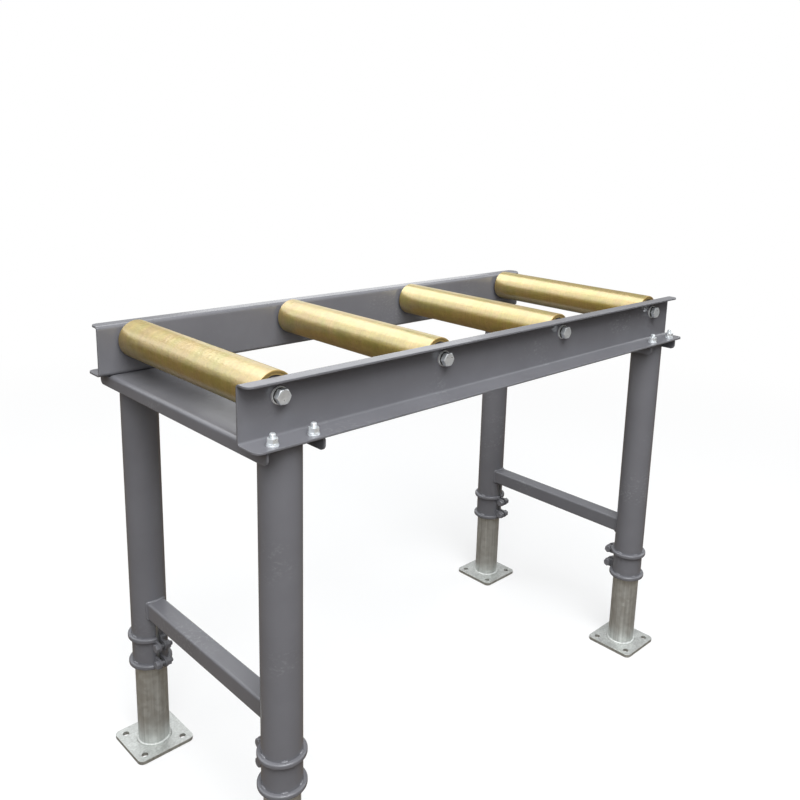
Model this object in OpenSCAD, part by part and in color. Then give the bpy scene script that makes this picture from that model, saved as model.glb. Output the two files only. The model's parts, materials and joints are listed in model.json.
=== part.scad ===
// Roller conveyor section with four rollers and four telescopic legs, in millimetres.
// X runs along the side rails, Y across them, Z up. The origin is on the floor under the middle.

/* [Frame] */
// Length of each side rail
rail_l = 1000; // [600:10:2000]
// Clear width between the rail webs
clear_w = 385; // [200:5:800]
// Height of each side rail
rail_h = 80; // [60:1:140]
// Sheet thickness of rails and cross plates
sheet_t = 3; // [2:0.5:5]
// Inside radius of every fold
fold_r = 3; // [1:0.5:6]
// Width of the rail's top flange, web included
top_flange_w = 25; // [18:1:50]
// Width of the rail's bottom flange, web included
bottom_flange_w = 43; // [30:1:60]
// Radius of the flange corners at the rail ends
flange_corner_r = 11; // [2:1:15]
// Height of the roller tops above the floor as drawn
work_h = 750; // [700:10:900]

/* [Cross plates] */
// Width of a cross plate along the rails
plate_w = 89; // [76:1:140]
// Distance from a stud's axis or a leg's side to the cross plate's end
plate_edge = 7.5; // [6:0.5:20]
// Depth of a cross plate over its lips
plate_h = 20; // [12:1:50]
// Radius of the lip corners
lip_corner_r = 8; // [2:1:12]
// Distance from the rail end to the cross plate
plate_inset = 18; // [0:1:156]

/* [Rollers] */
// Roller diameter
roller_d = 60; // [56:1:84]
// Roller tube wall thickness
roller_wall = 3; // [1.5:0.5:5]
// Number of rollers
roller_n = 4; // [2:1:4]
// Distance from the rail end to the outer roller's axis
roller_inset = 60; // [40:1:150]
// Height of a roller's top above the rail
roller_rise = 5; // [2:0.5:12]
// Gap between a roller's end and the rail web
end_gap = 6; // [3:0.5:15]
// Axle diameter
axle_d = 20; // [16:1:25]
// Depth of the tapped hole in each axle end beyond the bolt's tip
tap_spare = 6; // [2:0.5:15]

/* [Bearings] */
// Bearing outside diameter
bearing_od = 47; // [40:0.5:52]
// Bearing width
bearing_w = 14; // [13:1:16]
// Ball diameter
ball_d = 7.9; // [5:0.1:9]
// Balls in each bearing
ball_n = 8; // [6:1:10]
// Recess from the roller's end to the housing face
housing_recess = 1; // [1:0.5:8]
// Recess from the housing face to the bearing
bearing_recess = 2; // [1:0.5:6]
// Thickness of the flange behind the bearing
stop_t = 2; // [1:0.5:4]

/* [Legs] */
// Outside diameter of the upper leg tube
leg_d = 58; // [45:0.5:76]
// Wall of the upper leg tube
leg_wall = 2.5; // [2:0.1:4]
// Wall of the lower leg tube
foot_tube_wall = 2.6; // [2:0.1:4]
// Gap between the two leg tubes, all round
leg_gap = 0.4; // [0.3:0.05:0.8]
// Distance of a leg's axis beyond the rail web's inner face
leg_offset = 0.5; // [-10:0.5:4]
// Height of the upper tube's lower end above the floor
leg_end_z = 155; // [155:1:300]
// Height of the lower tube's upper end above the floor
foot_tube_top = 500; // [400:1:560]
// Width of the saw cut in the upper tube
cut_w = 6; // [3:0.5:10]
// Length of the saw cut
cut_l = 85; // [60:1:120]
// Side of the square foot plate
foot_w = 100; // [80:1:140]
// Foot plate thickness
foot_t = 6; // [4:1:12]
// Radius of the foot plate's corners
foot_corner_r = 10; // [2:1:20]
// Distance from an anchor hole's axis to the foot plate's sides
anchor_edge = 15; // [12:0.5:22]
// Anchor hole diameter
anchor_d = 11; // [9:0.5:14]
// Outer side of the square brace tube
brace_w = 30; // [20:1:40]
// Wall of the brace tube
brace_wall = 2; // [1.5:0.5:4]
// Outer corner radius of the brace tube
brace_r = 4; // [2.5:0.5:6]
// Distance from the end of the saw cut up to the brace
brace_gap = 7; // [1:1:185]

/* [Clamps] */
// Height of a clamp ring
ring_h = 8; // [6:0.5:14]
// Radial thickness of a clamp ring
ring_t = 6; // [4:0.5:10]
// Radius of the ring's outer edges
ring_edge_r = 2.5; // [1:0.5:3.5]
// Thickness of a clamp ear
ear_t = 4; // [4:0.5:10]
// Height of a clamp ear
ear_h = 16; // [14:1:20]
// Distance of the clamp bolt's axis beyond the ring's outside
ear_reach = 7; // [5:0.5:15]
// Distance of the clamp bolt from the middle of its ring, towards the other ring
ear_shift = 9; // [6:0.5:10]
// Gap between the ears of the two rings of a leg
ear_gap = 15; // [2:1:32]

/* [Fasteners] */
// Thread diameter of the axle bolts
axle_bolt_d = 12; // [8:1:14]
// Width across flats of the axle bolt heads
axle_bolt_af = 19; // [13:1:22]
// Height of the axle bolt heads
axle_bolt_k = 7.5; // [5:0.5:10]
// Length of the axle bolts under the head
axle_bolt_l = 30; // [20:1:40]
// Outside diameter of the axle bolts' flat washers
washer_d = 24; // [20:1:30]
// Thickness of the axle bolts' flat washers
washer_t = 2.5; // [1.5:0.5:4]
// Outside diameter of the axle bolts' spring washers
spring_d = 21; // [16:1:24]
// Thickness of the axle bolts' spring washers
spring_t = 2.5; // [1.5:0.5:4]
// Thread diameter of the studs and clamp bolts
small_bolt_d = 8; // [6:1:10]
// Width across flats of the nuts on studs and clamp bolts and of the clamp bolt heads
small_af = 13; // [10:1:17]
// Height of the clamp bolt heads
small_k = 5.3; // [4:0.1:7]
// Height of the nuts on studs and clamp bolts
small_nut_h = 6.8; // [5:0.1:9]
// Outside diameter of the studs' flat washers
small_washer_d = 16; // [12:1:20]
// Thickness of the studs' flat washers
small_washer_t = 1.6; // [1:0.1:3]
// Length of a stud beyond its nut
stud_stub = 5.6; // [1:0.1:15]
// Outside diameter of the studs' spring washers
small_spring_d = 14.8; // [12:0.1:18]
// Thickness of the studs' spring washers
small_spring_t = 2; // [1:0.1:3]
// Length of a clamp bolt beyond its nut
clamp_stub = 4.2; // [1:0.1:20]
// Distance from a stud's axis to the long side of the cross plate
stud_side = 13.5; // [11:0.5:20]
// Distance from a stud's axis to the outer edge of the rail's bottom flange
stud_inset = 13; // [10:0.5:28]

/* [Hidden] */
$fn = 96;

// Clearances
fit_gap = 0.02;
hole_play = 1;
race_gap = 0.03;
pocket_gap = 0.1;
weld_gap = 0.05;
over = 1;

// Levels
rail_top = work_h - roller_rise;
rail_z = rail_top - rail_h;
axle_z = work_h - roller_d / 2;
plate_under = rail_z - sheet_t;
brace_z = leg_end_z + cut_l + brace_gap;
fold_out = fold_r + sheet_t;

// Places along and across the rails
roller_pitch = (rail_l - 2 * roller_inset) / (roller_n - 1);
plate_x = rail_l / 2 - plate_inset - plate_w / 2;
leg_x = plate_x;
web_y = clear_w / 2;
leg_y = web_y + leg_offset;
stud_x = plate_w / 2 - stud_side;
stud_y = web_y + bottom_flange_w - stud_inset;
plate_l = 2 * (max(stud_y, leg_y + leg_d / 2) + plate_edge);

// Rollers and bearings
shoulder_share = 0.58;
cage_t = 1.7;
stop_lip = 3;
roller_l = clear_w - 2 * end_gap;
tube_in_r = roller_d / 2 - roller_wall;
housing_r = tube_in_r - fit_gap;
seat_r = bearing_od / 2 + fit_gap;
housing_l = bearing_recess + bearing_w + stop_t;
stop_r = bearing_od / 2 - stop_lip;
bearing_in = housing_recess + bearing_recess;
spacer_l = end_gap + bearing_in;
axle_r = axle_d / 2 - fit_gap;
ball_r = ball_d / 2;
pitch_r = (bearing_od + axle_d) / 4;
inner_r = pitch_r - ball_r * shoulder_share;
outer_r = pitch_r + ball_r * shoulder_share;
cage_w = ball_d + cage_t;
shield_t = 0.8;
shield_in = 0.3;
shield_gap = 0.7;
spacer_wall = 3.5;
axle_tap_l = axle_bolt_l - sheet_t - washer_t - spring_t + tap_spare;

// Legs
leg_r = leg_d / 2;
leg_in_r = leg_r - leg_wall;
foot_tube_r = leg_in_r - leg_gap;
ring_in_r = leg_r + weld_gap;
ring_out_r = ring_in_r + ring_t;
ring_pitch = 2 * ear_shift + ear_h + ear_gap;
ring_levels = [leg_end_z + ring_h / 2, leg_end_z + ring_h / 2 + ring_pitch];
ear_y = ring_out_r + ear_reach;
ear_x = cut_w / 2;
clamp_face = ear_x + ear_t;
least_corner_r = 0.5;
brace_in_r = max(brace_r - brace_wall, least_corner_r);
anchor_pitch = foot_w - 2 * anchor_edge;

// Bolts
hole_r = (small_bolt_d + hole_play) / 2;
small_bore_r = small_bolt_d / 2 + fit_gap;
stud_l = 2 * sheet_t + small_washer_t + small_spring_t + small_nut_h + stud_stub;
clamp_bolt_l = 2 * clamp_face + small_nut_h + clamp_stub;
head_chamfer = 0.055;
head_rim = 1.14;
head_top = 0.95;
tip_chamfer = 0.9;
rim_chamfer = 0.8;
spring_cut = 2;
spring_play = 0.5;

roller_pieces = ["tube", "housings", "outer_rings", "shields", "cages", "balls"];

coat_color = [0.34, 0.35, 0.38];
gold_color = [0.72, 0.6, 0.28];
zinc_color = [0.78, 0.79, 0.8];
galvanised_color = [0.6, 0.6, 0.57];
bearing_color = [0.7, 0.71, 0.73];

// Turns a shape drawn along Z so that it runs along Y
module along_y() {
  rotate([-90, 0, 0])
    children();
}

// Turns a shape drawn along Z so that it runs along X
module along_x() {
  rotate([0, 90, 0])
    children();
}

// Places a child at both ends of a roller, Z pointing inwards from the rail web
module at_roller_ends(x) {
  for (side = [0, 1])
    mirror([0, side, 0])
      translate([x, -web_y, axle_z])
        along_y()
          children();
}

module at_all_roller_ends() {
  for (i = [0 : roller_n - 1])
    at_roller_ends(roller_x(i))
      children();
}

function roller_x(i) = (i - (roller_n - 1) / 2) * roller_pitch;

// Quarter of a ring in the first quadrant
module fold_2d() {
  difference() {
    intersection() {
      circle(fold_out);
      square(fold_out);
    }
    circle(fold_r);
  }
}

// What is cut off a corner at the origin to round it with radius r, the body lying at -X -Y
module corner_2d(r) {
  difference() {
    translate([-r, -r])
      square(r + over);
    translate([-r, -r])
      circle(r);
  }
}

// Hexagon head or nut blank on Z = 0 with its upper corners turned off
module hex_blank(af, h) {
  corner_r = af / 2 / cos(30);
  chamfer_h = af * head_chamfer;
  intersection() {
    cylinder(r = corner_r, h = h, $fn = 6);
    union() {
      cylinder(r = corner_r + over, h = h - chamfer_h);
      translate([0, 0, h - chamfer_h])
        cylinder(r1 = af / 2 * head_rim, r2 = af / 2 * head_top, h = chamfer_h);
    }
  }
}

// Plain shank along +Z with a chamfered tip
module shank(d, l) {
  cylinder(d = d, h = l - tip_chamfer);
  translate([0, 0, l - tip_chamfer])
    cylinder(d1 = d, d2 = d - 2 * tip_chamfer, h = tip_chamfer);
}

// Hexagon bolt with its shank along +Z from the head's bearing face
module hex_bolt(d, l, af, k) {
  mirror([0, 0, 1])
    hex_blank(af, k);
  shank(d, l);
}

module flat_washer(od, id, t) {
  difference() {
    cylinder(d = od, h = t);
    translate([0, 0, -over])
      cylinder(d = id, h = t + 2 * over);
  }
}

// Flat washer sawn through on its +X side
module spring_washer(od, id, t) {
  difference() {
    flat_washer(od, id, t);
    translate([0, -spring_cut / 2, -over])
      cube([od, spring_cut, t + 2 * over]);
  }
}

// Rail section: X is outwards from the web's inner face, Y is up from the rail's underside
module rail_2d() {
  translate([0, fold_out])
    square([sheet_t, rail_h - 2 * fold_out]);
  translate([fold_out, 0])
    square([bottom_flange_w - fold_out, sheet_t]);
  translate([fold_out, rail_h - sheet_t])
    square([top_flange_w - fold_out, sheet_t]);
  translate([fold_out, fold_out])
    rotate(180)
      fold_2d();
  translate([fold_out, rail_h - fold_out])
    rotate(90)
      fold_2d();
}

// Rail for the +Y side
module side_rail() {
  difference() {
    translate([-rail_l / 2, web_y, rail_z])
      rotate([90, 0, 90])
        linear_extrude(rail_l)
          rail_2d();
    for (side = [0, 1])
      mirror([side, 0, 0]) {
        translate([rail_l / 2, web_y + bottom_flange_w, rail_z - over])
          linear_extrude(rail_h / 2)
            corner_2d(flange_corner_r);
        translate([rail_l / 2, web_y + top_flange_w, rail_z + rail_h / 2])
          linear_extrude(rail_h)
            corner_2d(flange_corner_r);
        for (dx = [-1, 1])
          translate([plate_x + dx * stud_x, stud_y, rail_z - over])
            cylinder(r = hole_r, h = sheet_t + 2 * over);
      }
    for (i = [0 : roller_n - 1])
      translate([roller_x(i), web_y - over, axle_z])
        along_y()
          cylinder(d = axle_bolt_d + hole_play, h = sheet_t + 2 * over);
  }
}

module front_rail() {
  color(coat_color)
    mirror([0, 1, 0])
      side_rail();
}

module rear_rail() {
  color(coat_color)
    side_rail();
}

// Cross plate section: X across the plate, Y down from its top
module plate_2d() {
  flat = plate_w / 2 - fold_out;
  translate([-flat, -sheet_t])
    square([2 * flat, sheet_t]);
  for (side = [0, 1])
    mirror([side, 0]) {
      translate([flat, -fold_out])
        fold_2d();
      translate([plate_w / 2 - sheet_t, -plate_h])
        square([sheet_t, plate_h - fold_out]);
    }
}

module cross_plate(x) {
  translate([x, 0, rail_z])
    difference() {
      translate([0, plate_l / 2, 0])
        rotate([90, 0, 0])
          linear_extrude(plate_l)
            plate_2d();
      for (end = [0, 1])
        mirror([0, end, 0]) {
          translate([plate_w, plate_l / 2, -plate_h])
            rotate([0, -90, 0])
              linear_extrude(2 * plate_w)
                mirror([1, 0])
                  corner_2d(lip_corner_r);
          for (dx = [-1, 1])
            translate([dx * stud_x, stud_y, -sheet_t - over])
              cylinder(r = small_bore_r, h = sheet_t + 2 * over);
        }
    }
}

module left_cross_plate() {
  color(coat_color)
    cross_plate(-plate_x);
}

module right_cross_plate() {
  color(coat_color)
    cross_plate(plate_x);
}

// Upper leg tube with its saw cut facing the other leg of the pair
module leg_tube(sx, sy) {
  translate([sx * leg_x, sy * leg_y, leg_end_z])
    difference() {
      cylinder(r = leg_r, h = plate_under - leg_end_z);
      translate([0, 0, -over])
        cylinder(r = leg_in_r, h = plate_under - leg_end_z + 2 * over);
      mirror([0, sy > 0 ? 1 : 0, 0])
        translate([-cut_w / 2, 0, -over]) {
          cube([cut_w, leg_r + over, cut_l - cut_w / 2 + over]);
          translate([cut_w / 2, 0, cut_l - cut_w / 2 + over])
            along_y()
              cylinder(d = cut_w, h = leg_r + over);
        }
    }
}

module front_left_leg_tube() {
  color(coat_color)
    leg_tube(-1, -1);
}

module front_right_leg_tube() {
  color(coat_color)
    leg_tube(1, -1);
}

module rear_left_leg_tube() {
  color(coat_color)
    leg_tube(-1, 1);
}

module rear_right_leg_tube() {
  color(coat_color)
    leg_tube(1, 1);
}

module round_square_2d(w, r) {
  difference() {
    translate([-w / 2, -w / 2])
      square(w);
    for (a = [0 : 90 : 270])
      rotate(a)
        translate([w / 2, w / 2])
          corner_2d(r);
  }
}

// Square brace tube, coped to fit round both leg tubes
module brace(sx) {
  translate([sx * leg_x, 0, 0])
    difference() {
      translate([0, -leg_y, brace_z + brace_w / 2])
        along_y()
          linear_extrude(2 * leg_y)
            difference() {
              round_square_2d(brace_w, brace_r);
              round_square_2d(brace_w - 2 * brace_wall, brace_in_r);
            }
      for (sy = [-1, 1])
        translate([0, sy * leg_y, brace_z - over])
          cylinder(r = leg_r + weld_gap, h = brace_w + 2 * over);
    }
}

module left_brace() {
  color(coat_color)
    brace(-1);
}

module right_brace() {
  color(coat_color)
    brace(1);
}

// Clamp ring section from the tube outwards, centred on its height
module ring_2d() {
  inner_w = ring_t - ring_edge_r;
  translate([ring_in_r, -ring_h / 2])
    square([inner_w, ring_h]);
  translate([ring_in_r, ring_edge_r - ring_h / 2])
    square([ring_t, ring_h - 2 * ring_edge_r]);
  for (s = [-1, 1])
    translate([ring_in_r + inner_w, s * (ring_h / 2 - ring_edge_r)])
      circle(ring_edge_r);
}

// Split clamp ring with two bolt ears towards +Y, joined to it on its upper side
module clamp_ring() {
  difference() {
    union() {
      rotate_extrude()
        ring_2d();
      translate([-clamp_face, 0, ear_shift - ear_h / 2])
        cube([2 * clamp_face, ear_y, ear_h]);
      translate([-clamp_face, ear_y, ear_shift])
        along_x()
          cylinder(d = ear_h, h = 2 * clamp_face);
    }
    translate([0, 0, -ear_h])
      cylinder(r = ring_in_r, h = 3 * ear_h);
    translate([-ear_x, 0, -ear_h])
      cube([2 * ear_x, ear_y + ear_h, 3 * ear_h]);
    translate([-clamp_face - over, ear_y, ear_shift])
      along_x()
        cylinder(r = hole_r, h = 2 * (clamp_face + over));
  }
}

// Places a child at both clamp rings of a leg, +Y towards the other leg, +Z towards the other ring
module at_rings(sx, sy) {
  for (i = [0, 1])
    translate([sx * leg_x, sy * leg_y, ring_levels[i]])
      mirror([0, sy > 0 ? 1 : 0, 0])
        mirror([0, 0, i])
          children();
}

module at_clamp_bolts() {
  for (sx = [-1, 1])
    for (sy = [-1, 1])
      at_rings(sx, sy)
        translate([0, ear_y, ear_shift])
          along_x()
            children();
}

module front_left_clamp_rings() {
  color(coat_color)
    at_rings(-1, -1)
      clamp_ring();
}

module front_right_clamp_rings() {
  color(coat_color)
    at_rings(1, -1)
      clamp_ring();
}

module rear_left_clamp_rings() {
  color(coat_color)
    at_rings(-1, 1)
      clamp_ring();
}

module rear_right_clamp_rings() {
  color(coat_color)
    at_rings(1, 1)
      clamp_ring();
}

module clamp_bolts() {
  color(coat_color)
    at_clamp_bolts()
      translate([0, 0, -clamp_face])
        hex_bolt(small_bolt_d, clamp_bolt_l, small_af, small_k);
}

// Small nut on Z = 0, bored to clear its bolt by the fit gap
module small_nut() {
  difference() {
    hex_blank(small_af, small_nut_h);
    translate([0, 0, -over])
      cylinder(r = small_bore_r, h = small_nut_h + 2 * over);
  }
}

module clamp_nuts() {
  color(coat_color)
    at_clamp_bolts()
      translate([0, 0, clamp_face])
        small_nut();
}

// Places a child at each stud that holds a rail to a cross plate
module at_studs(z) {
  for (sx = [-1, 1])
    for (sy = [-1, 1])
      for (dx = [-1, 1])
        translate([sx * plate_x + dx * stud_x, sy * stud_y, z])
          children();
}

module plate_studs() {
  color(zinc_color)
    at_studs(plate_under)
      shank(small_bolt_d, stud_l);
}

module plate_washers() {
  color(zinc_color)
    at_studs(rail_z + sheet_t)
      flat_washer(small_washer_d, 2 * hole_r, small_washer_t);
}

module plate_spring_washers() {
  color(zinc_color)
    at_studs(rail_z + sheet_t + small_washer_t)
      spring_washer(small_spring_d, small_bolt_d + spring_play, small_spring_t);
}

module plate_nuts() {
  color(zinc_color)
    at_studs(rail_z + sheet_t + small_washer_t + small_spring_t)
      small_nut();
}

module axles() {
  color(bearing_color)
    for (i = [0 : roller_n - 1])
      translate([roller_x(i), -web_y, axle_z])
        along_y()
          difference() {
            cylinder(r = axle_r, h = clear_w);
            for (z = [-over, clear_w - axle_tap_l])
              translate([0, 0, z])
                cylinder(r = axle_bolt_d / 2 + fit_gap, h = axle_tap_l + over);
          }
}

module axle_spacers() {
  color(zinc_color)
    at_all_roller_ends()
      flat_washer(axle_d + 2 * spacer_wall, axle_d, spacer_l);
}

module axle_bolts() {
  color(zinc_color)
    at_all_roller_ends()
      translate([0, 0, -sheet_t - washer_t - spring_t])
        hex_bolt(axle_bolt_d, axle_bolt_l, axle_bolt_af, axle_bolt_k);
}

module axle_washers() {
  color(zinc_color)
    at_all_roller_ends()
      translate([0, 0, -sheet_t - washer_t])
        flat_washer(washer_d, axle_bolt_d + hole_play, washer_t);
}

module axle_spring_washers() {
  color(zinc_color)
    at_all_roller_ends()
      translate([0, 0, -sheet_t - washer_t - spring_t])
        spring_washer(spring_d, axle_bolt_d + spring_play, spring_t);
}

// Bearing race section: a plain ring between two radii with the ball groove cut away
module race(r_in, r_out) {
  rotate_extrude()
    difference() {
      translate([r_in, 0])
        square([r_out - r_in, bearing_w]);
      translate([pitch_r, bearing_w / 2])
        circle(ball_r + race_gap);
    }
}

module bearing_inner_rings() {
  color(bearing_color)
    at_all_roller_ends()
      translate([0, 0, spacer_l])
        race(axle_d / 2, inner_r);
}

module roller_tube(i) {
  color(gold_color)
    translate([roller_x(i), -roller_l / 2, axle_z])
      along_y()
        rotate_extrude()
          polygon([
            [tube_in_r, 0],
            [roller_d / 2 - rim_chamfer, 0],
            [roller_d / 2, rim_chamfer],
            [roller_d / 2, roller_l - rim_chamfer],
            [roller_d / 2 - rim_chamfer, roller_l],
            [tube_in_r, roller_l]
          ]);
}

module roller_housings(i) {
  color(gold_color)
    at_roller_ends(roller_x(i))
      translate([0, 0, end_gap + housing_recess])
        rotate_extrude() {
          translate([seat_r, 0])
            square([housing_r - seat_r, housing_l]);
          translate([stop_r, housing_l - stop_t])
            square([housing_r - stop_r, stop_t]);
        }
}

module roller_outer_rings(i) {
  color(bearing_color)
    at_roller_ends(roller_x(i))
      translate([0, 0, spacer_l])
        race(outer_r, bearing_od / 2);
}

module roller_shields(i) {
  color(zinc_color)
    at_roller_ends(roller_x(i))
      for (z = [shield_in, bearing_w - shield_in - shield_t])
        translate([0, 0, spacer_l + z])
          flat_washer(2 * (outer_r - fit_gap), 2 * (inner_r + shield_gap), shield_t);
}

// Places a child at every ball of one bearing, X pointing outwards
module at_balls() {
  for (a = [0 : ball_n - 1])
    rotate(a * 360 / ball_n)
      translate([pitch_r, 0, bearing_w / 2])
        children();
}

module cage() {
  difference() {
    translate([0, 0, (bearing_w - cage_w) / 2])
      flat_washer(2 * pitch_r + cage_t, 2 * pitch_r - cage_t, cage_w);
    at_balls()
      translate([-cage_t, 0, 0])
        along_x()
          cylinder(r = ball_r + pocket_gap, h = 2 * cage_t);
  }
}

module roller_cages(i) {
  color(bearing_color)
    at_roller_ends(roller_x(i))
      translate([0, 0, spacer_l])
        cage();
}

module roller_balls(i) {
  color(zinc_color)
    at_roller_ends(roller_x(i))
      translate([0, 0, spacer_l])
        at_balls()
          sphere(ball_r);
}

// Lower leg tube that slides in the upper one
module foot_tube(sx, sy) {
  color(galvanised_color)
    translate([sx * leg_x, sy * leg_y, foot_t])
      difference() {
        cylinder(r = foot_tube_r, h = foot_tube_top - foot_t);
        translate([0, 0, -over])
          cylinder(r = foot_tube_r - foot_tube_wall, h = foot_tube_top - foot_t + 2 * over);
      }
}

module foot_plate(sx, sy) {
  color(galvanised_color)
    translate([sx * leg_x, sy * leg_y, 0])
      linear_extrude(foot_t)
        difference() {
          round_square_2d(foot_w, foot_corner_r);
          for (x = [-1, 1])
            for (y = [-1, 1])
              translate([x * anchor_pitch / 2, y * anchor_pitch / 2])
                circle(d = anchor_d);
        }
}

module front_left_foot_tube() {
  foot_tube(-1, -1);
}

module front_left_foot_plate() {
  foot_plate(-1, -1);
}

module front_right_foot_tube() {
  foot_tube(1, -1);
}

module front_right_foot_plate() {
  foot_plate(1, -1);
}

module rear_left_foot_tube() {
  foot_tube(-1, 1);
}

module rear_left_foot_plate() {
  foot_plate(-1, 1);
}

module rear_right_foot_tube() {
  foot_tube(1, 1);
}

module rear_right_foot_plate() {
  foot_plate(1, 1);
}

front_rail();
rear_rail();
left_cross_plate();
right_cross_plate();
front_left_leg_tube();
front_right_leg_tube();
rear_left_leg_tube();
rear_right_leg_tube();
left_brace();
right_brace();
front_left_clamp_rings();
front_right_clamp_rings();
rear_left_clamp_rings();
rear_right_clamp_rings();
clamp_bolts();
clamp_nuts();
plate_studs();
plate_washers();
plate_spring_washers();
plate_nuts();
axles();
axle_spacers();
axle_bolts();
axle_washers();
axle_spring_washers();
bearing_inner_rings();
for (i = [0 : roller_n - 1]) {
  roller_tube(i);
  roller_housings(i);
  roller_outer_rings(i);
  roller_shields(i);
  roller_cages(i);
  roller_balls(i);
}
front_left_foot_tube();
front_right_foot_tube();
rear_left_foot_tube();
rear_right_foot_tube();
front_left_foot_plate();
front_right_foot_plate();
rear_left_foot_plate();
rear_right_foot_plate();
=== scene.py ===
"""Looks of the roller conveyor section: finishes, weld beads, threads, light and camera, in metres."""
import json
import math

import bmesh
import bpy
import numpy as np
from mathutils import Matrix, Vector


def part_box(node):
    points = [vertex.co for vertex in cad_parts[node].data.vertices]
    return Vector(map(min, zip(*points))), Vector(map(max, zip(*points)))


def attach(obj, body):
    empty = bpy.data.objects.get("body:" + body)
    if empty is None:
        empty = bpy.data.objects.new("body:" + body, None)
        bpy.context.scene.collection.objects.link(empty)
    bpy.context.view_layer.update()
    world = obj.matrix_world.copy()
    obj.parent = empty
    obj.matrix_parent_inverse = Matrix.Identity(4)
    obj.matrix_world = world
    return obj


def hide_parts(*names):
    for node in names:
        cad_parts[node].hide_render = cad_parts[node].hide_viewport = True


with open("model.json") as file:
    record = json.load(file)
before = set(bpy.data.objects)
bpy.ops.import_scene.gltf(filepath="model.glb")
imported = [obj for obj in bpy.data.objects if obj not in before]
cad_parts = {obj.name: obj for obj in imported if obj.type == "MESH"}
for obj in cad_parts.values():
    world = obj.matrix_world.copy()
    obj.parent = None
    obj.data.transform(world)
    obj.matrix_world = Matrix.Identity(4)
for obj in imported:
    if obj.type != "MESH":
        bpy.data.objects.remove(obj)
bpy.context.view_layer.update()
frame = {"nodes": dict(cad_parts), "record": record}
NODES = frame["nodes"]
scene = bpy.context.scene

MM = 0.001
UP = np.array([0.0, 0.0, 1.0])
ENDS = {"left": -1, "right": 1}
SIDES = {"front": -1, "rear": 1}
LEGS = [(f"{side}_{end}", ENDS[end], SIDES[side]) for side in SIDES for end in ENDS]


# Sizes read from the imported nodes

def corners(node):
    """Lowest and highest corner of a node at rest."""
    low, high = (np.array(corner, float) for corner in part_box(node))
    return low, high


LEG_LOW, LEG_HIGH = corners("front_right_leg_tube")
LEG_X, LEG_Y = np.abs(LEG_LOW + LEG_HIGH)[:2] / 2
LEG_R = (LEG_HIGH[0] - LEG_LOW[0]) / 2
FOOT_LOW, FOOT_HIGH = corners("front_right_foot_tube")
FOOT_R = (FOOT_HIGH[0] - FOOT_LOW[0]) / 2
BRACE_LOW, BRACE_HIGH = corners("right_brace")
RAIL_TOP = corners("front_rail")[1][2]

# Sizes of the source that no node's box gives
RING_H = 8 * MM
EAR_H = 16 * MM
EAR_SHIFT = 9 * MM
CLAMP_BOLT_L = 25 * MM
M8, M8_PITCH = 8 * MM, 1.25 * MM
M8_FLATS, M8_HEAD = 13 * MM, 5.3 * MM


# Surfaces on a grid

def grid_faces(rows, cols, wrap_rows, wrap_cols, start=0, flip=False):
    """Quads of a grid: corner (i, j) joins (i+1, j), (i+1, j+1) and (i, j+1), modulo the grid where it
    wraps."""
    i = np.arange(rows if wrap_rows else rows - 1)[:, None]
    j = np.arange(cols if wrap_cols else cols - 1)[None, :]
    ni, nj = (i + 1) % rows, (j + 1) % cols
    quads = np.stack([i * cols + j, ni * cols + j, ni * cols + nj, i * cols + nj], -1).reshape(-1, 4)
    return (quads[:, ::-1] if flip else quads) + start


def build(name, sheets, smooth_angle=50):
    """One object from a list of (points[rows, cols, 3], wrap_rows, wrap_cols, flip) grids."""
    points, faces, start = [], [], 0
    for grid, wrap_rows, wrap_cols, flip in sheets:
        rows, cols = grid.shape[:2]
        points.append(grid.reshape(-1, 3))
        faces.append(grid_faces(rows, cols, wrap_rows, wrap_cols, start, flip))
        start += rows * cols
    mesh = bpy.data.meshes.new(name)
    mesh.from_pydata(np.concatenate(points).tolist(), [], np.concatenate(faces).tolist())
    mesh.validate()
    obj = bpy.data.objects.new(name, mesh)
    scene.collection.objects.link(obj)
    clean_mesh(mesh, smooth_angle)
    return obj


def clean_mesh(mesh, smooth_angle):
    """Merges doubles, turns faces outwards and splits the shading at edges sharper than smooth_angle."""
    work = bmesh.new()
    work.from_mesh(mesh)
    bmesh.ops.remove_doubles(work, verts=work.verts, dist=1e-6)
    bmesh.ops.dissolve_degenerate(work, dist=1e-7, edges=work.edges)
    bmesh.ops.recalc_face_normals(work, faces=work.faces)
    limit = math.radians(smooth_angle)
    for edge in work.edges:
        edge.smooth = len(edge.link_faces) == 2 and edge.calc_face_angle(0) < limit
    for face in work.faces:
        face.smooth = True
    work.to_mesh(mesh)
    work.free()
    mesh.update()


def ring(n):
    """n angles once round, the last one short of the first."""
    return np.linspace(0, 2 * math.pi, n, endpoint=False)


def arc(centre, radius, z, start, stop, n):
    """Points (radius * cos a, radius * sin a) about centre at height z, with their radial directions."""
    a = np.radians(np.linspace(start, stop, n, endpoint=abs(stop - start) < 360))
    radial = np.stack([np.cos(a), np.sin(a), 0 * a], 1)
    return np.array([centre[0], centre[1], z]) + radius * radial, radial


# Weld beads

BEAD_STEP = 2.2 * MM  # from one ripple to the next
BEAD_SIDES = 12
BEAD_WIDTH = 1.15  # across, in shares of the height
BEAD_TAPER = 1.5  # length of a rounded end, in shares of the radius
RIPPLE, RIPPLE_SKEW = 0.09, 0.6
DRIFT, DRIFT_WAVES, DRIFT_PHASE = 0.035, (2, 3, 5, 7), 6
LEG_BEAD, BRACE_BEAD, STITCH_BEAD, FOOT_BEAD = 2.9 * MM, 2.3 * MM, 2.1 * MM, 2.6 * MM
LEG_SEED, BRACE_SEED, STITCH_SEED, FOOT_SEED = 10, 20, 40, 70
BRACE_CORNER = 9.0  # power of the brace's rounded square outline
# Middles of the four stitches on each edge of a clamp ring, from the side away from the ears, in degrees
STITCHES = (-95, -28, 30, 100)
STITCH_HALF = 11


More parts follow.
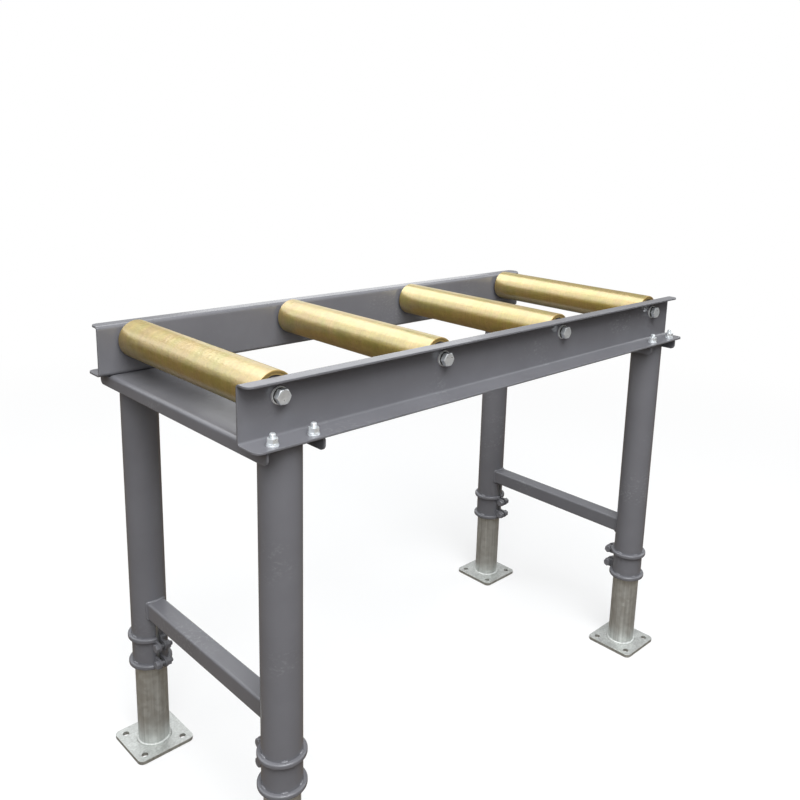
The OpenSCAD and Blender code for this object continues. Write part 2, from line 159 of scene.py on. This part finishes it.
def bead(path, crown, size, closed, seed):
    """Weld bead: a ring of radius size swept along path, its crown towards the given directions.
    The radius is size * (1 + ripple): a skewed wave of BEAD_STEP along the path plus a slow drift.
    An open bead shrinks to its path at both ends as the square root of the distance from the end."""
    rng = np.random.default_rng(seed)
    ahead = np.roll(path, -1, 0) - np.roll(path, 1, 0) if closed else np.gradient(path, axis=0)
    ahead /= np.linalg.norm(ahead, axis=1)[:, None]
    crown = crown - ahead * (crown * ahead).sum(1)[:, None]
    crown /= np.linalg.norm(crown, axis=1)[:, None]
    across = np.cross(ahead, crown)
    gaps = np.linalg.norm(np.diff(path, axis=0), axis=1)
    along = np.concatenate([[0], np.cumsum(gaps)])
    total = along[-1] + (np.linalg.norm(path[0] - path[-1]) if closed else 0)
    waves = max(1, round(total / BEAD_STEP))
    turn = 2 * math.pi * along / total
    ripple = RIPPLE * np.sin(waves * turn + RIPPLE_SKEW * np.sin(waves * turn))
    for k in DRIFT_WAVES:
        ripple += rng.normal(0, DRIFT) * np.sin(k * turn + rng.uniform(0, DRIFT_PHASE))
    radius = size * (1 + ripple)
    if not closed:
        edge = np.minimum(along, total - along) / (BEAD_TAPER * size)
        radius *= np.sqrt(np.clip(edge, 0, 1))
    phi = ring(BEAD_SIDES)
    grid = path[:, None] + radius[:, None, None] * (
        np.cos(phi)[None, :, None] * crown[:, None]
        + BEAD_WIDTH * np.sin(phi)[None, :, None] * across[:, None])
    return grid, closed, True, False


def leg_welds():
    """Fillet beads round the leg tops, round the brace ends and in stitches on the clamp rings."""
    top_inset, stitch_out, stitch_inset = 0.6 * MM, 0.4 * MM, 0.1 * MM
    sheets = []
    for n, (name, sx, sy) in enumerate(LEGS):
        centre = (sx * LEG_X, sy * LEG_Y)
        path, radial = arc(centre, LEG_R + top_inset, LEG_HIGH[2] - top_inset, 0, 360, 420)
        sheets.append(bead(path, radial - UP, LEG_BEAD, True, LEG_SEED + n))
        sheets.append(brace_weld(sx, sy, BRACE_SEED + n))
        low, high = corners(f"{name}_clamp_rings")
        away = 90 if sy > 0 else 270
        for level, lift in ((high[2], 1), (low[2] + RING_H, 1), (high[2] - RING_H, -1)):
            for k, turn in enumerate(STITCHES):
                path, radial = arc(centre, LEG_R + stitch_out, level - (stitch_inset * lift),
                                   away + turn - STITCH_HALF, away + turn + STITCH_HALF, 40)
                sheets.append(bead(path, radial + UP * lift, STITCH_BEAD, False, STITCH_SEED + 10 * n + k))
    return build("leg_welds", sheets)


def brace_weld(sx, sy, seed):
    """Closed path where the brace meets the leg: the outline |x|^p + |z|^p = half^p of the rounded square,
    carried to the tube at y = leg axis -+ sqrt(R^2 - x^2)."""
    inset, lean = 0.3 * MM, 0.9
    half = (BRACE_HIGH[0] - BRACE_LOW[0]) / 2
    t = ring(300)
    cosine, sine = np.cos(t), np.sin(t)
    reach = half / (np.abs(cosine) ** BRACE_CORNER + np.abs(sine) ** BRACE_CORNER) ** (1 / BRACE_CORNER)
    x, z = reach * cosine, reach * sine
    y = sy * (LEG_Y - np.sqrt(LEG_R ** 2 - x ** 2) - inset)
    path = np.stack([sx * LEG_X + x, y, (BRACE_LOW[2] + BRACE_HIGH[2]) / 2 + z], 1)
    crown = np.stack([cosine, np.full_like(t, -lean * sy), sine], 1)
    return bead(path, crown, BRACE_BEAD, True, seed)


def foot_weld(name, sx, sy, seed):
    """Fillet bead where a foot tube stands on its plate."""
    out = 0.5 * MM
    plate_top = corners(f"{name}_foot_plate")[1][2]
    path, radial = arc((sx * LEG_X, sy * LEG_Y), FOOT_R + out, plate_top + out, 0, 360, 400)
    return build(f"{name}_foot_weld", [bead(path, radial + UP, FOOT_BEAD, True, seed)])


# Threaded bolts and studs

THREAD_DEPTH = 0.61  # in shares of the pitch
THREAD_BLUNT = 1.25  # how far the wave is cut off at crest and root
THREAD_ROWS, THREAD_SIDES = 9, 28
TIP_CHAMFER = 0.9 * MM
THREAD_ANGLE = 35  # edges sharper than this stay sharp, in degrees


def hex_head(flats, head):
    """Hexagon head below z = 0. At angle a the flat lies at h = (flats/2) / cos(a folded into +-30 degrees),
    and the 30 degree chamfer starts at head - (h - 0.95 flats/2) tan 30 degrees. Its face has a shallow
    dish."""
    a = ring(48)
    fold = (a + math.pi / 6) % (math.pi / 3) - math.pi / 6
    h = flats / 2 / np.cos(fold)
    face = 0.95 * flats / 2
    dish_r, rim_r, dish, axis_r = 0.55 * face, 0.7 * face, 0.25 * MM, 1e-5
    rows = [(axis_r, dish - head), (dish_r, dish - head), (rim_r, -head), (face, -head),
            (h, (h - face) * math.tan(math.pi / 6) - head), (h, 0.0), (axis_r, 0.0)]
    return np.stack([np.stack([radius * np.cos(a), radius * np.sin(a), z + 0 * a], 1) for radius, z in rows])


def thread(d, pitch, length):
    """Threaded shank from z = 0 to length: radius = d/2 - THREAD_DEPTH * pitch * (0.5 + 0.5 * wave), wave a
    blunted triangle of z/pitch - a/2pi, with a 45 degree chamfer at the tip."""
    z = np.linspace(0, length, int(length / pitch * THREAD_ROWS))[:, None]
    a = ring(THREAD_SIDES)[None, :]
    phase = z / pitch - a / (2 * math.pi)
    wave = np.clip(THREAD_BLUNT * (2 * np.abs(2 * (phase % 1) - 1) - 1), -1, 1)
    radius = np.minimum(d / 2 - THREAD_DEPTH * pitch * (0.5 + 0.5 * wave), d / 2 - TIP_CHAMFER + length - z)
    shank = np.stack([radius * np.cos(a), radius * np.sin(a), np.broadcast_to(z, radius.shape)], -1)
    tip = shank[-1] * np.array([0.01, 0.01, 1.0])
    return np.concatenate([shank, tip[None]])


def placed(grid, place):
    """The grid moved by the matrix place, as a sheet that closes round its columns."""
    return grid @ np.array(place.to_3x3()).T + np.array(place.translation), False, True, False


def studs():
    """M8 studs that point up through the rail flanges, where the plain studs stand, each turned its own way."""
    low, high = corners("plate_studs")
    outer, y = high[0] - M8 / 2, high[1] - M8 / 2
    sheets = []
    for sx in (-1, 1):
        for sy in (-1, 1):
            for x in (outer, 2 * LEG_X - outer):
                place = Matrix.Translation((sx * x, sy * y, low[2])) @ Matrix.Rotation(9 * x + sy, 4, "Z")
                sheets.append(placed(thread(M8, M8_PITCH, high[2] - low[2]), place))
    return build("plate_studs_threaded", sheets, THREAD_ANGLE)


def clamp_bolts():
    """M8 bolts across the ears of the clamp rings, along +X, each turned its own way."""
    low, high = corners("front_right_clamp_rings")
    reach = abs(high[1] - EAR_H / 2)
    under_head = corners("clamp_bolts")[1][0] - LEG_X - CLAMP_BOLT_L
    sheets = []
    for _, sx, sy in LEGS:
        for z in (low[2] + RING_H / 2 + EAR_SHIFT, high[2] - RING_H / 2 - EAR_SHIFT):
            place = (Matrix.Translation((sx * LEG_X + under_head, sy * reach, z))
                     @ Matrix.Rotation(math.pi / 2, 4, "Y") @ Matrix.Rotation(sx + 9 * z, 4, "Z"))
            sheets.append(placed(hex_head(M8_FLATS, M8_HEAD), place))
            sheets.append(placed(thread(M8, M8_PITCH, CLAMP_BOLT_L), place))
    return build("clamp_bolts_threaded", sheets, THREAD_ANGLE)


# Finishes

MIX_FACTOR, MIX_A, MIX_B, MIX_RESULT = 0, 6, 7, 2  # sockets of a colour Mix node


class NodeTree:
    """A node tree and a short way to add nodes to it."""

    def __init__(self, tree):
        self.nodes, self.links = tree.nodes, tree.links

    def add(self, kind, inputs=(), **settings):
        """A node with its settings, and each input linked to a socket or set to a value."""
        node = self.nodes.new(kind)
        for key, value in settings.items():
            setattr(node, key, value)
        for key, value in dict(inputs).items():
            if isinstance(value, bpy.types.NodeSocket):
                self.links.new(value, node.inputs[key])
            else:
                node.inputs[key].default_value = value
        return node

    def maths(self, operation, *values, clamp=False):
        inputs = dict(enumerate(values))
        return self.add("ShaderNodeMath", inputs, operation=operation, use_clamp=clamp).outputs[0]

    def mix(self, fac, a, b, blend="MIX"):
        """Colours a and b, sockets or (r, g, b), mixed by the share fac of b."""
        a, b = (c if isinstance(c, bpy.types.NodeSocket) else (*c, 1) for c in (a, b))
        sides = {MIX_FACTOR: fac, MIX_A: a, MIX_B: b}
        return self.add("ShaderNodeMix", sides, data_type="RGBA", blend_type=blend).outputs[MIX_RESULT]


class Finish(NodeTree):
    """A material whose patterns read the object's coordinates."""

    def __init__(self, name):
        self.mat = bpy.data.materials.new(name)
        self.mat.use_nodes = True
        super().__init__(self.mat.node_tree)
        self.shader = self.nodes["Principled BSDF"]
        self.coords = self.add("ShaderNodeTexCoord").outputs["Object"]

    def noise(self, stretch, detail=3, rough=0.5):
        """Noise of the object's coordinates times stretch (per metre on X, Y and Z)."""
        mapped = self.add("ShaderNodeMapping", {"Vector": self.coords, "Scale": stretch}, vector_type="POINT")
        return self.add("ShaderNodeTexNoise", {"Vector": mapped.outputs[0], "Scale": 1.0, "Detail": detail,
                                               "Roughness": rough}).outputs["Fac"]

    def ramp(self, fac, stops):
        """Colour ramp through the stops (place, grey or colour)."""
        node = self.add("ShaderNodeValToRGB", {"Fac": fac})
        elements = node.color_ramp.elements
        while len(elements) < len(stops):
            elements.new(0.5)
        for element, (at, value) in zip(elements, stops):
            element.position = at
            element.color = (*value, 1) if isinstance(value, tuple) else (value, value, value, 1)
        return node.outputs["Color"]

    def bump(self, height, distance, strength=1.0, below=None):
        inputs = {"Height": height, "Distance": distance, "Strength": strength}
        if below is not None:
            inputs["Normal"] = below
        return self.add("ShaderNodeBump", inputs).outputs["Normal"]

    def soft_edge(self, radius):
        """Normal that turns smoothly over the sharp edges within the radius."""
        return self.add("ShaderNodeBevel", {"Radius": radius}, samples=6).outputs["Normal"]

    def true_normal(self):
        return self.add("ShaderNodeNewGeometry").outputs["Normal"]

    def cut_end(self, stops):
        """Share of the faces that look along Y: the size of the true normal's Y part."""
        parts = self.add("ShaderNodeSeparateXYZ", {0: self.true_normal()})
        return self.ramp(self.maths("ABSOLUTE", parts.outputs["Y"]), stops)

    def edge(self, soft, stops):
        """Share near the sharp edges: one minus the dot product of the soft normal and the true one."""
        dot = self.add("ShaderNodeVectorMath", {0: soft, 1: self.true_normal()}, operation="DOT_PRODUCT")
        return self.ramp(self.maths("SUBTRACT", 1.0, dot.outputs["Value"]), stops)

    def finish(self, color, rough, normal, **constants):
        """Links the three patterns to the shader, and sets the numbers that are the same all over."""
        for key, pattern in (("Base Color", color), ("Roughness", rough), ("Normal", normal)):
            self.links.new(pattern, self.shader.inputs[key])
        for key, value in constants.items():
            self.shader.inputs[key.replace("_", " ")].default_value = value
        return self.mat


def powder_coat(name, light=1.0):
    """Semi-gloss dark grey powder coat: fine orange peel, faint clouding, a little dust, pale scuffs here and
    there, and a coat that is a little paler along the edges, partly as rubbed wear and partly as a painted
    highlight. light multiplies the greys of coat and dust."""
    greys = (0.162, 0.161, 0.175), (0.189, 0.188, 0.204), (0.23, 0.23, 0.24)
    dark, pale, dust = (tuple(c * light for c in grey) for grey in greys)
    scuffed, rubbed_and_highlight = (0.29, 0.29, 0.30), (0.27, 0.27, 0.28)
    f = Finish(name)
    soft = f.soft_edge(1.4 * MM)
    cloud = f.noise((9, 9, 9), 4, 0.55)
    grain = f.noise((2600, 2600, 2600), 1)
    base = f.ramp(cloud, [(0.3, dark), (0.72, pale)])
    fleck = f.ramp(grain, [(0.62, 0.0), (0.78, 0.35)])
    color = f.mix(fleck, base, dust)
    patch = f.ramp(f.noise((8, 8, 11), 3), [(0.56, 0.0), (0.68, 0.5)])
    marks = f.ramp(f.noise((150, 150, 260), 4, 0.65), [(0.52, 0.0), (0.66, 1.0)])
    color = f.mix(f.mix(1.0, patch, marks, "MULTIPLY"), color, scuffed)
    # Paler along the sharp edges: partly rubbed wear, partly a painted highlight where light catches the edge
    edges = f.edge(soft, [(0.02, 0.0), (0.3, 0.5)])
    broken = f.ramp(f.noise((90, 90, 90), 3), [(0.35, 0.3), (0.65, 1.0)])
    color = f.mix(f.mix(1.0, edges, broken, "MULTIPLY"), color, rubbed_and_highlight)
    rough = f.ramp(f.noise((60, 60, 60), 3), [(0.3, 0.20), (0.7, 0.27)])
    peel = f.noise((520, 520, 520), 2, 0.4)
    normal = f.bump(grain, 0.04 * MM, 0.35, f.bump(peel, 0.22 * MM, 0.30, soft))
    return f.finish(color, rough, normal, Specular_IOR_Level=0.55)


def yellow_zinc(name, turned=True):
    """Yellow zinc: gold with faint olive and pink casts, brown stains along Y, fine rings round Y, a few dark
    nicks, and a clear, slightly uneven passivated skin over it that whitens the lights. Cut ends are browner
    and duller, with less skin. A turned piece has clearer rings than a pressed one and is more metallic."""
    olive, gold = (0.41, 0.355, 0.052), (0.515, 0.40, 0.080)
    pink, straw = (0.55, 0.38, 0.100), (0.445, 0.38, 0.065)
    brown, ring_brown = (0.32, 0.18, 0.03), (0.36, 0.24, 0.05)
    speck_brown, nicked = (0.34, 0.245, 0.06), (0.18, 0.11, 0.04)
    cut_brown, cut_rough, cut_skin = (0.42, 0.29, 0.10), (0.6, 0.6, 0.6), (0.15, 0.15, 0.15)
    ring_share, line_strength, metallic = (0.5, 0.3, 0.72) if turned else (0.1, 0.2, 0.35)
    f = Finish(name)
    cloud = f.noise((16, 22, 16), 4, 0.6)
    cast = f.ramp(cloud, [(0.32, olive), (0.46, gold), (0.58, pink), (0.72, straw)])
    stain = f.ramp(f.noise((80, 45, 80), 5, 0.7), [(0.44, 0.0), (0.80, 0.6)])
    color = f.mix(stain, cast, brown)
    rings = f.ramp(f.noise((14, 300, 14), 5, 0.75), [(0.42, 0.0), (0.68, ring_share)])
    color = f.mix(rings, color, ring_brown)
    speck = f.ramp(f.noise((300, 340, 300), 4, 0.7), [(0.50, 0.0), (0.68, 0.6)])
    color = f.mix(speck, color, speck_brown)
    nick = f.ramp(f.noise((190, 240, 190), 2, 0.5), [(0.74, 0.0), (0.80, 0.6)])
    color = f.mix(nick, color, nicked)
    lines = f.noise((8, 2000, 8), 3, 0.6)
    rough = f.ramp(f.noise((40, 60, 40), 4), [(0.3, 0.34), (0.7, 0.43)])
    uneven = f.bump(f.noise((110, 160, 110), 4, 0.6), 0.4 * MM)
    normal = f.bump(lines, 0.02 * MM, line_strength, uneven)
    facing = f.add("ShaderNodeLayerWeight", {"Blend": 0.5}).outputs["Facing"]
    skin = f.ramp(facing, [(0.5, 1.0), (0.88, 0.4)])
    cut = f.cut_end([(0.3, 0.0), (0.5, 1.0)])
    color = f.mix(cut, color, cut_brown)
    rough = f.mix(cut, rough, cut_rough)
    f.links.new(f.mix(cut, skin, cut_skin), f.shader.inputs["Coat Weight"])
    f.links.new(uneven, f.shader.inputs["Coat Normal"])
    return f.finish(color, rough, normal, Metallic=metallic, Specular_IOR_Level=0.2,
                    Coat_Roughness=0.25, Coat_IOR=2.35)


def bright_zinc(name, tone=(0.91, 0.94, 0.96), rough=(0.26, 0.38), metallic=0.6):
    """Bright zinc on fasteners: pale, with faint cloudy tarnish that dulls it, and slightly rounded edges."""
    f = Finish(name)
    cloud = f.noise((150, 150, 150), 3, 0.5)
    dull = tuple(0.86 * c for c in tone)
    color = f.ramp(cloud, [(0.32, dull), (0.6, tone)])
    grain = f.noise((1500, 1500, 1500), 2)
    normal = f.bump(grain, 0.03 * MM, 0.15, f.soft_edge(0.35 * MM))
    return f.finish(color, f.ramp(cloud, [(0.3, rough[1]), (0.7, rough[0])]), normal, Metallic=metallic)


def galvanised(name):
    """Dull galvanised steel: warm grey with soft drawn streaks along Z and a faint spangle."""
    dark, pale = (0.50, 0.51, 0.49), (0.69, 0.71, 0.69)
    f = Finish(name)
    streak = f.noise((240, 240, 5), 3, 0.6)
    cells = f.add("ShaderNodeTexVoronoi", {"Vector": f.coords, "Scale": 150.0}, feature="F1").outputs["Color"]
    spangle = f.add("ShaderNodeSeparateColor", {0: cells}).outputs[0]
    base = f.ramp(streak, [(0.3, dark), (0.7, pale)])
    shade = f.ramp(spangle, [(0.0, 0.86), (1.0, 1.0)])
    color = f.mix(1.0, base, shade, "MULTIPLY")
    rough = f.ramp(spangle, [(0.0, 0.42), (1.0, 0.55)])
    return f.finish(color, rough, f.bump(streak, 0.04 * MM, 0.5), Metallic=0.75)


def ground_steel(name):
    """Ground steel of the bearings and axles with fine rings about Y."""
    dark, pale = (0.50, 0.51, 0.53), (0.64, 0.65, 0.67)
    f = Finish(name)
    lines = f.noise((30, 1800, 30), 2)
    color = f.ramp(lines, [(0.3, dark), (0.7, pale)])
    rough = f.ramp(lines, [(0.3, 0.16), (0.7, 0.28)])
    return f.finish(color, rough, f.bump(lines, 0.02 * MM, 0.3), Metallic=1.0)


# One finish for each slot, and two more for washers of the slot bright_zinc: a near-black one that is painted
# shade under the bolt heads, and a paler, less metallic one that is painted light
FINISHES = {
    "powder_coat": powder_coat("powder_coat"),
    "coated_fasteners": powder_coat("coated_fasteners", 1.15),
    "roller_zinc": yellow_zinc("roller_zinc"),
    "housing_zinc": yellow_zinc("housing_zinc", False),
    "bearing_steel": ground_steel("bearing_steel"),
    "axle_steel": ground_steel("axle_steel"),
    "bright_zinc": bright_zinc("bright_zinc"),
    # Near-black copy of bright zinc: painted shade in the gap under the axle bolt heads
    "painted_shade_spring_washer": bright_zinc("painted_shade_spring_washer", (0.07, 0.07, 0.068), (0.45, 0.6), 0.5),
    # Paler, less metallic copy of bright zinc: painted light on the flat washers in the shade of the bolt heads
    "painted_light_washer_zinc": bright_zinc("painted_light_washer_zinc", (0.96, 0.965, 0.95), (0.30, 0.42), 0.3),
    "galvanised": galvanised("galvanised"),
}
SLOT_OF = {part["node"]: part["material_slot"] for part in frame["record"]["subparts"]}


def dress(obj, finish):
    obj.data.materials.clear()
    obj.data.materials.append(FINISHES[finish])


def place_piece(obj, slot, body, *instead_of):
    """Puts on a new piece the finish of the slot, parents it to the body's empty, and hides the nodes that it
    stands for.
    """
    dress(obj, slot)
    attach(obj, body)
    if instead_of:
        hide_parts(*instead_of)


for node_name, node_object in NODES.items():
    dress(node_object, SLOT_OF[node_name])
# The spring washers wear painted shade
dress(NODES["axle_spring_washers"], "painted_shade_spring_washer")
# The flat washers wear painted light
dress(NODES["axle_washers"], "painted_light_washer_zinc")

place_piece(leg_welds(), "powder_coat", "frame")
place_piece(studs(), "bright_zinc", "frame", "plate_studs")
place_piece(clamp_bolts(), "coated_fasteners", "frame", "clamp_bolts")
for order, (leg, x_sign, y_sign) in enumerate(LEGS):
    place_piece(foot_weld(leg, x_sign, y_sign, FOOT_SEED + order), "galvanised", f"{leg}_foot")


# Stage and light

WHITE = (1, 1, 1, 1)
FLOOR_HALF = 30.0
FLOOR_DROP = 0.2 * MM  # keeps the floor clear of the soles
# Floor colours for lighting, for glossy rays and for the camera
FLOOR_BOUNCE = (0.16, 0.156, 0.152)
FLOOR_SHEEN = (0.14, 0.098, 0.058)
FLOOR_SEEN = (0.9, 0.9, 0.9)
# White's share of the floor near the object, and where it starts to rise and reaches 1, in metres
FLOOR_WHITE = 0.6
FADE_START, FADE_END = 0.8, 3.0
# Shares of the white floor and world that glossy rays see, and the strength of the world's light
FLOOR_GLOSSY = 0.03
WORLD_GLOSSY = 0.4
WORLD_LIGHT = 0.06
# Square soft boxes: place, side in metres and power in watts, all of one colour and facing LAMP_TARGET
LAMPS = {
    "over_front": ((-0.7, -1.9, 3.9), 2.6, 146),
    "front_left": ((-1.5, -1.9, 2.5), 2.6, 56),
    "right": ((3.2, -0.6, 2.6), 2.4, 32),
    "left": ((-3.0, 0.3, 3.0), 2.4, 28),
    "rear_left": ((-2.4, 2.8, 2.8), 2.6, 28),
    "over_rear": ((0, 2.0, 3.4), 2.6, 46),
    "far_rear": ((3.2, 4.2, 2.0), 2.4, 17),
}
LAMP_COLOUR = (0.965, 0.985, 1.0)
LAMP_TARGET = Vector((0, 0, 0.7))


def pale_rays(tree, glossy):
    """Share of the plain white that a ray sees: camera + transmission + glossy share * glossy, at most 1."""
    rays = tree.add("ShaderNodeLightPath").outputs
    direct = tree.maths("ADD", rays["Is Camera Ray"], rays["Is Transmission Ray"])
    return tree.maths("MULTIPLY_ADD", rays["Is Glossy Ray"], glossy, direct, clamp=True)


def floor_finish():
    """Pale matt floor mixed with plain white for the rays that look at it. The white's share rises from
    FLOOR_WHITE at FADE_START to 1 at FADE_END, so that the floor has no horizon and keeps the shadow."""
    mat = bpy.data.materials.new("floor_white")
    mat.use_nodes = True
    tree = NodeTree(mat.node_tree)
    tree.nodes.clear()
    rays = tree.add("ShaderNodeLightPath").outputs
    colour = tree.mix(rays["Is Glossy Ray"], FLOOR_BOUNCE, FLOOR_SHEEN)
    colour = tree.mix(rays["Is Camera Ray"], colour, FLOOR_SEEN)
    matt = tree.add("ShaderNodeBsdfDiffuse", {"Color": colour})
    glow = tree.add("ShaderNodeEmission", {"Color": WHITE, "Strength": 1.0})
    coords = tree.add("ShaderNodeTexCoord").outputs["Object"]
    distance = tree.add("ShaderNodeVectorMath", {0: coords}, operation="LENGTH").outputs["Value"]
    fade = tree.add("ShaderNodeMapRange", {"Value": distance, "From Min": FADE_START, "From Max": FADE_END,
                                           "To Min": FLOOR_WHITE, "To Max": 1.0},
                    interpolation_type="SMOOTHSTEP").outputs["Result"]
    share = tree.maths("MULTIPLY", pale_rays(tree, FLOOR_GLOSSY), fade)
    mixer = tree.add("ShaderNodeMixShader", {0: share, 1: matt.outputs[0], 2: glow.outputs[0]})
    tree.add("ShaderNodeOutputMaterial", {"Surface": mixer.outputs[0]})
    return mat


def make_stage():
    """Flat square floor just below the soles."""
    span = np.linspace(-FLOOR_HALF, FLOOR_HALF, 3)
    x, y = np.meshgrid(span, span, indexing="ij")
    floor = build("studio_floor", [(np.stack([x, y, 0 * x - FLOOR_DROP], -1), False, False, False)])
    floor.data.materials.append(floor_finish())


def soft_box(name, place, side, power):
    data = bpy.data.lights.new(name, "AREA")
    data.shape = "SQUARE"
    data.size = side
    data.energy = power
    data.color = LAMP_COLOUR
    lamp = bpy.data.objects.new(name, data)
    lamp.location = place
    lamp.rotation_euler = (LAMP_TARGET - Vector(place)).to_track_quat("-Z", "Y").to_euler()
    lamp.visible_camera = False
    scene.collection.objects.link(lamp)


def make_light():
    """Dim world light, which the camera sees as white, and the soft boxes."""
    world = bpy.data.worlds.new("studio")
    scene.world = world
    world.use_nodes = True
    tree = NodeTree(world.node_tree)
    dim = tree.nodes["Background"]
    dim.inputs["Color"].default_value = WHITE
    dim.inputs["Strength"].default_value = WORLD_LIGHT
    white = tree.add("ShaderNodeBackground", {"Color": WHITE, "Strength": 1.0})
    mixer = tree.add("ShaderNodeMixShader", {0: pale_rays(tree, WORLD_GLOSSY), 1: dim.outputs[0],
                                             2: white.outputs[0]})
    tree.links.new(mixer.outputs[0], tree.nodes["World Output"].inputs["Surface"])
    for name, (place, side, power) in LAMPS.items():
        soft_box(name, place, side, power)


# The photograph's view: yaw, pitch and roll in degrees, place from the middle of the rails' top in metres,
# focal length in shares of the picture's width, and the place that the camera points at in shares of it
YAW, PITCH, ROLL = 44.990, -12.439, 1.807
CAMERA_FROM_TOP = (-1.01661, -1.02840, 0.28776)
FOCAL_SHARE = 836.84 / 800
CENTRE_SHARE = (426.76 / 800, 326.64 / 800)
SENSOR = 36
VIEW_END = 200


def make_camera():
    """Pinhole camera: forward from yaw and pitch, then right and up turned by the roll."""
    yaw, pitch, roll = (math.radians(v) for v in (YAW, PITCH, ROLL))
    ahead = Vector((math.sin(yaw) * math.cos(pitch), math.cos(yaw) * math.cos(pitch), math.sin(pitch)))
    right = ahead.cross(Vector((0, 0, 1))).normalized()
    up = right.cross(ahead)
    right, up = right * math.cos(roll) + up * math.sin(roll), up * math.cos(roll) - right * math.sin(roll)
    data = bpy.data.cameras.new("camera")
    data.sensor_width = SENSOR
    data.lens = SENSOR * FOCAL_SHARE
    data.shift_x = 0.5 - CENTRE_SHARE[0]
    data.shift_y = CENTRE_SHARE[1] - 0.5
    data.clip_end = VIEW_END
    camera = bpy.data.objects.new("camera", data)
    turn = Matrix((right, up, -ahead)).transposed().to_4x4()
    camera.matrix_world = Matrix.Translation(Vector(CAMERA_FROM_TOP) + Vector((0, 0, RAIL_TOP))) @ turn
    scene.collection.objects.link(camera)
    scene.camera = camera


make_stage()
make_light()
make_camera()
scene.view_settings.view_transform = "Standard"
